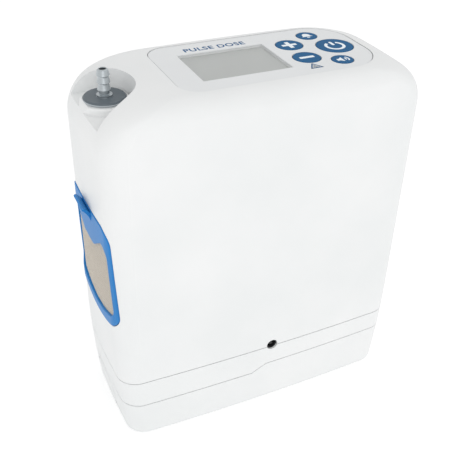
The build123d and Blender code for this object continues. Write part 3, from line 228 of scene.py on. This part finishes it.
# Thin anti-glare pane: nearly all light passes, and a soft gloss stays on its face.
paneLook = {"roughness": 0.22, "ior": 1.49, "etchMm": 0.3, "smoothest": 0.18, "roughest": 0.28}


def windowGlass(name, color, alpha):
    material, tree, shader = newMaterial(name, color, paneLook["roughness"], Alpha=alpha, IOR=paneLook["ior"])
    place = objectPlace(tree)
    etch = addNode(tree, "ShaderNodeTexNoise", inputs={"Vector": place, "Scale": 1000 / paneLook["etchMm"]})
    etched = spread(tree, etch.outputs["Fac"], paneLook["smoothest"], paneLook["roughest"])
    tree.links.new(etched, shader.inputs["Roughness"])
    return material


def absColor(name, color, shade, roughness, grainMm=0.4, gloss=0.5):
    look = {**absLook, "color": color, "shade": shade, "roughness": roughness, "grainMm": grainMm, "gloss": gloss}
    return mouldedAbs(name, look)


# Glass-filled nylon whose top face is dark; below a height its turned rim is painted paler, a painted highlight along
# the rim.
nylonLook = {"roughness": 0.45, "ior": 1.53, "grainMm": 0.5, "smoothest": 0.38, "roughest": 0.52}


def darkTopPaintedRimHighlight(name, node, topColor, rimHighlightColor, rimDepthMm):
    material, tree, shader = newMaterial(name, topColor, nylonLook["roughness"], IOR=nylonLook["ior"])
    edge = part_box(node)[1][2] - rimDepthMm * mm
    coord = addNode(tree, "ShaderNodeTexCoord")
    height = addNode(tree, "ShaderNodeSeparateXYZ", inputs={"Vector": coord.outputs["Object"]}).outputs["Z"]
    above = addNode(tree, "ShaderNodeMath", {"operation": "GREATER_THAN"}, {0: height, 1: edge}).outputs["Value"]
    # Below the edge the paler colour is a painted highlight on the rim.
    tree.links.new(ramp(tree, above, [(0.0, rimHighlightColor), (1.0, topColor)]), shader.inputs["Base Color"])
    grain = addNode(tree, "ShaderNodeTexNoise",
                    inputs={"Vector": coord.outputs["Object"], "Scale": 1000 / nylonLook["grainMm"]})
    worn = spread(tree, grain.outputs["Fac"], nylonLook["smoothest"], nylonLook["roughest"])
    tree.links.new(worn, shader.inputs["Roughness"])
    return material


finishes = {
    "white_shell": mouldedAbs("moulded white ABS", absLook),
    "panel_film": absColor("printed polycarbonate film", "#E2E4E5", "#DEE0E1", 0.36, 0.3),
    "dark_rubber": absColor("moulded nitrile rubber", "#2B2B2D", "#232325", 0.75, 0.8),
    "key_blue": absColor("printed blue key cap", "#045C8E", "#035686", 0.5, 0.3, 0.15),
    "clear_lens": clearPlastic("frosted light pipe", "#DCE6EE", 0.35, 0.6, 1.49),
    "screen_glass": windowGlass("anti-glare window glass", "#F4F6F5", 0.12),
    "display_grey": liquidCrystal("liquid-crystal panel", "#B6B9B7", "#B1B4B2", 0.6),
    "circuit_green": absColor("solder-masked board", "#1F6B3A", "#1A5C31", 0.35),
    "dome_steel": metal("bright stainless steel", "#C9CBCC", "#B4B6B8", 0.28, 1.2),
    # The flange's paler rim band is a painted highlight.
    "flange_grey": darkTopPaintedRimHighlight("grey glass-filled nylon", "nozzle_flange", "#59636A", "#A9B0B4", 0.8),
    "nozzle_metal": metal("anodised aluminium, turned", "#C3C9CC", "#AEB5B9", 0.34, 0.9, (1, 1, 8)),
    "filter_blue": absColor("moulded blue ABS", "#277FC6", "#2278BC", 0.42, 0.45, 0.25),
    "filter_mesh": wovenPolyester("woven polyester mesh", "#B5AEA3", "#A19A8E", 0.5),
    "black_plastic": absColor("moulded black nylon", "#27282A", "#202123", 0.5),
    "clear_plastic": clearPlastic("clear silicone", "#E8ECEE", 0.2, 0.7, 1.41),
    "cast_aluminium": metal("die-cast aluminium", "#B9BBBD", "#A3A5A8", 0.45, 2.5),
    "lamination_steel": metal("stacked electrical steel", "#8C8D90", "#6F7073", 0.4, 0.5, (1, 12, 1)),
    "cell_sleeve": absColor("heat-shrink sleeve", "#3B6E45", "#346340", 0.3),
    "nickel_strip": metal("nickel strip", "#C9C5BC", "#B8B4AB", 0.3, 1.0),
}
slotOf = {entry["node"]: entry["material_slot"] for entry in frame["record"]["subparts"]}
for nodeName, cadObject in nodes.items():
    finish = finishes[slotOf[nodeName]]
    for index in range(max(1, len(cadObject.material_slots))):
        if cadObject.material_slots:
            cadObject.material_slots[index].material = finish
        else:
            cadObject.data.materials.append(finish)
print("materials:", len(finishes))
whiteInk = absColor("white screen ink", "#F2F7FA", "#E9F1F6", 0.45, 0.25)
blueInk = absColor("blue screen ink", "#045485", "#034F7D", 0.55, 0.25, 0.15)


# Printed marks are flat outlines given a film's thickness, laid on a face.
def outlinePiece(name, loops, z, thicknessMm, material, body):
    mesh = bpy.data.meshes.new(name)
    shape = bmesh.new()
    for loop in loops:
        bottom = [shape.verts.new((x * mm, y * mm, z)) for x, y in loop]
        top = [shape.verts.new((x * mm, y * mm, z + thicknessMm * mm)) for x, y in loop]
        shape.faces.new(top)
        shape.faces.new(bottom[::-1])
        for i in range(len(loop)):
            j = (i + 1) % len(loop)
            shape.faces.new((bottom[i], bottom[j], top[j], top[i]))
    bmesh.ops.recalc_face_normals(shape, faces=shape.faces)
    shape.to_mesh(mesh)
    shape.free()
    mesh.materials.append(material)
    piece = bpy.data.objects.new(name, mesh)
    bpy.context.scene.collection.objects.link(piece)
    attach(piece, body)
    return piece


def bar(cx, cy, length, width, angle=0.0, cornerMm=None):
    corner = width / 2 if cornerMm is None else cornerMm
    points = []
    for sx, sy, start in ((1, 1, 0), (-1, 1, 90), (-1, -1, 180), (1, -1, 270)):
        for step in range(5):
            a = math.radians(start + 22.5 * step)
            points.append((sx * (length / 2 - corner) + corner * math.cos(a),
                           sy * (width / 2 - corner) + corner * math.sin(a)))
    turn = math.radians(angle)
    return [(cx + x * math.cos(turn) - y * math.sin(turn), cy + x * math.sin(turn) + y * math.cos(turn))
            for x, y in points]


def arcBand(cx, cy, radius, width, start, end, steps=28):
    angles = [math.radians(start + (end - start) * i / steps) for i in range(steps + 1)]
    wide, narrow = radius + width / 2, radius - width / 2
    outer = [(cx + wide * math.cos(a), cy + wide * math.sin(a)) for a in angles]
    inner = [(cx + narrow * math.cos(a), cy + narrow * math.sin(a)) for a in reversed(angles)]
    return outer + inner


def capCentre(node):
    low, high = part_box(node)
    return (low[0] + high[0]) / 2 / mm, (low[1] + high[1]) / 2 / mm, high[2]


iconLook = {"thickness": 0.03, "sink": 0.01, "plusReach": 4.3, "plusHalfWidth": 1.15}


def keyIcon(node, loops):
    x, y, top = capCentre(node)
    placed = [[(x + px, y + py) for px, py in loop] for loop in loops]
    z = top - iconLook["sink"] * mm
    outlinePiece(f"icon_{node}", placed, z, iconLook["thickness"], whiteInk, node)


powerRing = arcBand(0, -0.3, radius=4.9, width=1.7, start=122, end=418)
keyIcon("key_power", [powerRing, bar(0, 3.2, length=5.2, width=1.7, angle=90)])
arm, stem = iconLook["plusReach"], iconLook["plusHalfWidth"]
plusLoop = [(stem, stem), (stem, arm), (-stem, arm), (-stem, stem), (-arm, stem), (-arm, -stem)]
plusLoop += [(-stem, -stem), (-stem, -arm), (stem, -arm), (stem, -stem), (arm, -stem), (arm, stem)]
keyIcon("key_plus", [plusLoop])
keyIcon("key_minus", [bar(0, 0, length=8.4, width=2.3, cornerMm=0.4)])
bell = [(-3.3, -1.3), (-2.4, -0.4), (-2.2, 1.3), (-1.3, 2.7), (0, 3.1),
        (1.3, 2.7), (2.2, 1.3), (2.4, -0.4), (3.3, -1.3)]
clapper = arcBand(0, -2.0, radius=0.6, width=1.0, start=180, end=360, steps=8)
keyIcon("key_light", [bell[::-1], clapper])
horn = [(-3.2, -1.1), (-1.8, -1.1), (0.2, -2.7), (0.2, 2.7), (-1.8, 1.1), (-3.2, 1.1)]
nearWave = arcBand(0.5, 0, radius=1.5, width=0.8, start=-48, end=48, steps=10)
farWave = arcBand(0.5, 0, radius=3.0, width=0.8, start=-48, end=48, steps=12)
keyIcon("key_sound", [horn, nearWave, farWave])
print("key icons laid")

# Generic word and the outline round the alert light, in the panel's blue ink.
panelPrint = {"word": "PULSE DOSE", "height": 4.3, "x": -8.0, "y": 21.6, "triangle": 6.4, "stroke": 0.7,
              "spacing": 1.08, "boldMm": 0.12, "inkMm": 0.015, "liftMm": 0.012, "triangleDrop": 0.3}


def printedWord(look):
    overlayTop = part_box("top_overlay")[1][2]
    curve = bpy.data.curves.new("panelWord", "FONT")
    curve.body = look["word"]
    curve.size = look["height"] * 1.4 * mm
    curve.align_x = "CENTER"
    curve.align_y = "CENTER"
    curve.space_character = look["spacing"]
    curve.offset = look["boldMm"] * mm
    curve.extrude = look["inkMm"] * mm
    holder = bpy.data.objects.new("panelWordCurve", curve)
    bpy.context.scene.collection.objects.link(holder)
    bpy.context.view_layer.update()
    mesh = bpy.data.meshes.new_from_object(holder.evaluated_get(bpy.context.evaluated_depsgraph_get()))
    bpy.data.objects.remove(holder)
    mesh.transform(Matrix.Translation((look["x"] * mm, look["y"] * mm, overlayTop + look["liftMm"] * mm)))
    mesh.materials.clear()
    mesh.materials.append(blueInk)
    piece = bpy.data.objects.new("panel_word", mesh)
    bpy.context.scene.collection.objects.link(piece)
    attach(piece, "housing")


def alertOutline(look):
    low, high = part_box("alert_lens")
    cx, cy = (low[0] + high[0]) / 2 / mm, (low[1] + high[1]) / 2 / mm
    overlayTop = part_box("top_overlay")[1][2]
    reach = look["triangle"] / math.sqrt(3)
    middle = cy - look["triangleDrop"]
    corners = [(cx + reach * math.cos(math.radians(a)), middle + reach * math.sin(math.radians(a)))
               for a in (90, 210, 330)]
    loops = []
    for i in range(3):
        (ax, ay), (bx, by) = corners[i], corners[(i + 1) % 3]
        angle = math.degrees(math.atan2(by - ay, bx - ax))
        loops.append(bar((ax + bx) / 2, (ay + by) / 2, look["triangle"] + look["stroke"], look["stroke"], angle))
    outlinePiece("alert_outline", loops, overlayTop - iconLook["sink"] * mm,
                 iconLook["thickness"], blueInk, "housing")


# A dark ring of painted shade in the groove round the panel film, just below its face, standing for the groove's
# shadow.
grooveShadeLook = {"leftCornerMm": 11.0, "rightCornerMm": 21.0, "outMm": 0.3, "inMm": 0.05, "belowMm": 0.25,
            "thicknessMm": 0.2}


def roundedLoop(low, high, leftCorner, rightCorner, grow, steps=12):
    corners = [(high[0], high[1], rightCorner, 0), (low[0], high[1], leftCorner, 90),
               (low[0], low[1], leftCorner, 180), (high[0], low[1], rightCorner, 270)]
    points = []
    for x, y, corner, start in corners:
        cx = x / mm - math.copysign(corner, x - (low[0] + high[0]) / 2)
        cy = y / mm - math.copysign(corner, y - (low[1] + high[1]) / 2)
        for step in range(steps + 1):
            angle = math.radians(start + 90 * step / steps)
            points.append((cx + (corner + grow) * math.cos(angle), cy + (corner + grow) * math.sin(angle)))
    return points


def paintedGrooveShade(look):
    low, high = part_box("top_overlay")
    outer = roundedLoop(low, high, look["leftCornerMm"], look["rightCornerMm"], look["outMm"])
    inner = roundedLoop(low, high, look["leftCornerMm"], look["rightCornerMm"], look["inMm"])
    z = high[2] - look["belowMm"] * mm
    shape = bmesh.new()
    rings = []
    foot = z - look["thicknessMm"] * mm
    for loop, level in ((outer, z), (inner, z), (inner, foot), (outer, foot)):
        rings.append([shape.verts.new((x * mm, y * mm, level)) for x, y in loop])
    count = len(outer)
    for first, second in zip(rings, rings[1:] + rings[:1]):
        for i in range(count):
            j = (i + 1) % count
            shape.faces.new((first[i], first[j], second[j], second[i]))
    bmesh.ops.recalc_face_normals(shape, faces=shape.faces)
    mesh = bpy.data.meshes.new("panel_bead")
    shape.to_mesh(mesh)
    shape.free()
    # The ring's grey is painted shade for the groove's shadow.
    mesh.materials.append(absColor("painted groove shade", "#6E7274", "#66696B", 0.6, 0.5))
    piece = bpy.data.objects.new("panel_bead", mesh)
    bpy.context.scene.collection.objects.link(piece)
    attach(piece, "housing")


paintedGrooveShade(grooveShadeLook)
printedWord(panelPrint)
alertOutline(panelPrint)
print("panel printed")


# The filter's threads follow the screen's curved face: two sets of lines are cast on to it and given thickness.
# They are drawn coarser than real, so that single threads can be made out.
filterLook = {"pitchMm": 1.1, "threadMm": 0.42, "stepMm": 1.6, "standOffMm": 10, "fibreMm": 0.3,
              "color": "#D8D1C6", "shade": "#C9C1B5"}


def threadTree():
    tree = bpy.data.node_groups.new("filterThreads", "GeometryNodeTree")
    tree.interface.new_socket("Geometry", in_out="OUTPUT", socket_type="NodeSocketGeometry")
    sockets = {"Geometry": "Geometry", "Low corner": "Vector", "High corner": "Vector", "Threads across": "Int",
               "Threads up": "Int", "Steps": "Int", "Thread radius": "Float", "Screen": "Object",
               "Finish": "Material"}
    for name, kind in sockets.items():
        tree.interface.new_socket(name, in_out="INPUT", socket_type="NodeSocket" + kind)
    given = tree.nodes.new("NodeGroupInput").outputs
    low = addNode(tree, "ShaderNodeSeparateXYZ", inputs={0: given["Low corner"]}).outputs
    high = addNode(tree, "ShaderNodeSeparateXYZ", inputs={0: given["High corner"]}).outputs
    sets = []
    for along, across, count in (("Z", "Y", "Threads across"), ("Y", "Z", "Threads up")):
        ends = []
        for corner in (low, high):
            place = {"X": low["X"], along: corner[along]}
            ends.append(addNode(tree, "ShaderNodeCombineXYZ", inputs=place).outputs[0])
        rows = []
        for corner in (low, high):
            rows.append(addNode(tree, "ShaderNodeCombineXYZ", inputs={across: corner[across]}).outputs[0])
        line = addNode(tree, "GeometryNodeCurvePrimitiveLine", inputs={"Start": ends[0], "End": ends[1]}).outputs[0]
        fine = addNode(tree, "GeometryNodeResampleCurve", inputs={"Curve": line, "Count": given["Steps"]}).outputs[0]
        places = addNode(tree, "GeometryNodeMeshLine", {"mode": "END_POINTS"},
                         {"Count": given[count], "Start Location": rows[0], "Offset": rows[1]}).outputs[0]
        threads = addNode(tree, "GeometryNodeInstanceOnPoints", inputs={"Points": places, "Instance": fine})
        sets.append(threads.outputs[0])
    joined = tree.nodes.new("GeometryNodeJoinGeometry")
    for threads in sets:
        tree.links.new(threads, joined.inputs[0])
    plain = addNode(tree, "GeometryNodeRealizeInstances", inputs={"Geometry": joined.outputs[0]}).outputs[0]
    screen = addNode(tree, "GeometryNodeObjectInfo", inputs={"Object": given["Screen"]}).outputs["Geometry"]
    cast = addNode(tree, "GeometryNodeRaycast",
                   inputs={"Target Geometry": screen, "Ray Direction": (1, 0, 0), "Ray Length": 0.1})
    missed = addNode(tree, "FunctionNodeBooleanMath", {"operation": "NOT"}, {0: cast.outputs["Is Hit"]}).outputs[0]
    kept = addNode(tree, "GeometryNodeDeleteGeometry", {"domain": "POINT"},
                   {"Geometry": plain, "Selection": missed}).outputs[0]
    laid = addNode(tree, "GeometryNodeSetPosition",
                   inputs={"Geometry": kept, "Position": cast.outputs["Hit Position"]}).outputs[0]
    profile = addNode(tree, "GeometryNodeCurvePrimitiveCircle",
                      inputs={"Resolution": 6, "Radius": given["Thread radius"]}).outputs[0]
    tubes = addNode(tree, "GeometryNodeCurveToMesh",
                    inputs={"Curve": laid, "Profile Curve": profile, "Fill Caps": True}).outputs[0]
    solid = addNode(tree, "GeometryNodeRealizeInstances", inputs={"Geometry": tubes}).outputs[0]
    finished = addNode(tree, "GeometryNodeSetMaterial",
                       inputs={"Geometry": solid, "Material": given["Finish"]}).outputs[0]
    addNode(tree, "NodeGroupOutput", inputs={"Geometry": finished})
    return tree


def filterThreads(look):
    low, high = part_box("filter_screen")
    tree = threadTree()
    host = bpy.data.objects.new("threadHost", bpy.data.meshes.new("threadHost"))
    bpy.context.scene.collection.objects.link(host)
    modifier = host.modifiers.new("threads", "NODES")
    modifier.node_group = tree
    finish = wovenPolyester("spun polyester thread", look["color"], look["shade"], look["fibreMm"])
    inset = look["pitchMm"] * mm / 2
    castFrom = low[0] - look["standOffMm"] * mm
    start = Vector((castFrom, low[1] + inset, low[2] + inset))
    end = Vector((castFrom, high[1] - inset, high[2] - inset))
    across = round((end.y - start.y) / mm / look["pitchMm"]) + 1
    up = round((end.z - start.z) / mm / look["pitchMm"]) + 1
    values = {"Low corner": start, "High corner": end, "Threads across": across, "Threads up": up,
              "Steps": round((end.z - start.z) / mm / look["stepMm"]), "Thread radius": look["threadMm"] / 2 * mm,
              "Screen": nodes["filter_screen"], "Finish": finish}
    for item in tree.interface.items_tree:
        if item.in_out == "INPUT" and item.name in values:
            modifier[item.identifier] = values[item.name]
    bpy.context.view_layer.update()
    mesh = bpy.data.meshes.new_from_object(host.evaluated_get(bpy.context.evaluated_depsgraph_get()))
    bpy.data.objects.remove(host)
    piece = bpy.data.objects.new("filter_threads", mesh)
    bpy.context.scene.collection.objects.link(piece)
    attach(piece, "intake_filter")
    print("filter threads:", across, "by", up, "faces", len(mesh.polygons))


filterThreads(filterLook)


# The latch spring is a smooth-shaded copy of the CAD spring, with doubled points merged, carried with the battery.
springLook = {"travelMm": 2.5, "mergeMm": 0.0005}


def latchSpring(look):
    shape = bmesh.new()
    shape.from_mesh(nodes["latch_spring"].data)
    bmesh.ops.remove_doubles(shape, verts=shape.verts, dist=look["mergeMm"] * mm)
    mesh = bpy.data.meshes.new("coiled_spring")
    shape.to_mesh(mesh)
    shape.free()
    mesh.shade_smooth()
    mesh.materials.clear()
    mesh.materials.append(finishes["dome_steel"])
    piece = bpy.data.objects.new("coiled_spring", mesh)
    bpy.context.scene.collection.objects.link(piece)
    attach(piece, "battery")
    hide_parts("latch_spring")
    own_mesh(piece)


latchSpring(springLook)
print("spring set")

# Pale floor, soft light all round, a large softbox at the front and a weaker one at the right.
stageLook = {"floor": "#FFFFFF", "glow": 0.16, "world": 0.85, "floorReach": 20.0, "paperRoughness": 0.9,
             "paperGloss": 0.1}
floorMesh = bpy.data.meshes.new("floor")
reach = stageLook["floorReach"]
floorCorners = [(-reach, -reach, 0), (reach, -reach, 0), (reach, reach, 0), (-reach, reach, 0)]
floorMesh.from_pydata(floorCorners, [], [(0, 1, 2, 3)])
floorPaper, floorTree, floorShader = newMaterial(
    "matt backdrop paper", stageLook["floor"], stageLook["paperRoughness"],
    **{"Specular IOR Level": stageLook["paperGloss"]})
floorShader.inputs["Emission Color"].default_value = srgb(stageLook["floor"])
floorShader.inputs["Emission Strength"].default_value = stageLook["glow"]
floorMesh.materials.append(floorPaper)
floor = bpy.data.objects.new("floor", floorMesh)
bpy.context.scene.collection.objects.link(floor)

world = bpy.data.worlds.new("studio")
bpy.context.scene.world = world
world.use_nodes = True
worldShade = world.node_tree.nodes["Background"]
worldShade.inputs["Color"].default_value = (1, 1, 1, 1)
worldShade.inputs["Strength"].default_value = stageLook["world"]


def softLight(name, place, target, size, power):
    data = bpy.data.lights.new(name, "AREA")
    data.shape = "DISK"
    data.size = size
    data.energy = power
    light = bpy.data.objects.new(name, data)
    light.location = Vector(place)
    light.rotation_euler = (Vector(target) - Vector(place)).to_track_quat("-Z", "Y").to_euler()
    bpy.context.scene.collection.objects.link(light)


softLight("frontSoftbox", place=(-0.4, -1.5, 1.0), target=(0, 0, 0.1), size=1.2, power=4.5)
softLight("rightSoftbox", place=(1.3, -0.3, 1.2), target=(0, 0, 0.1), size=1.0, power=1.5)
print("stage and light set")
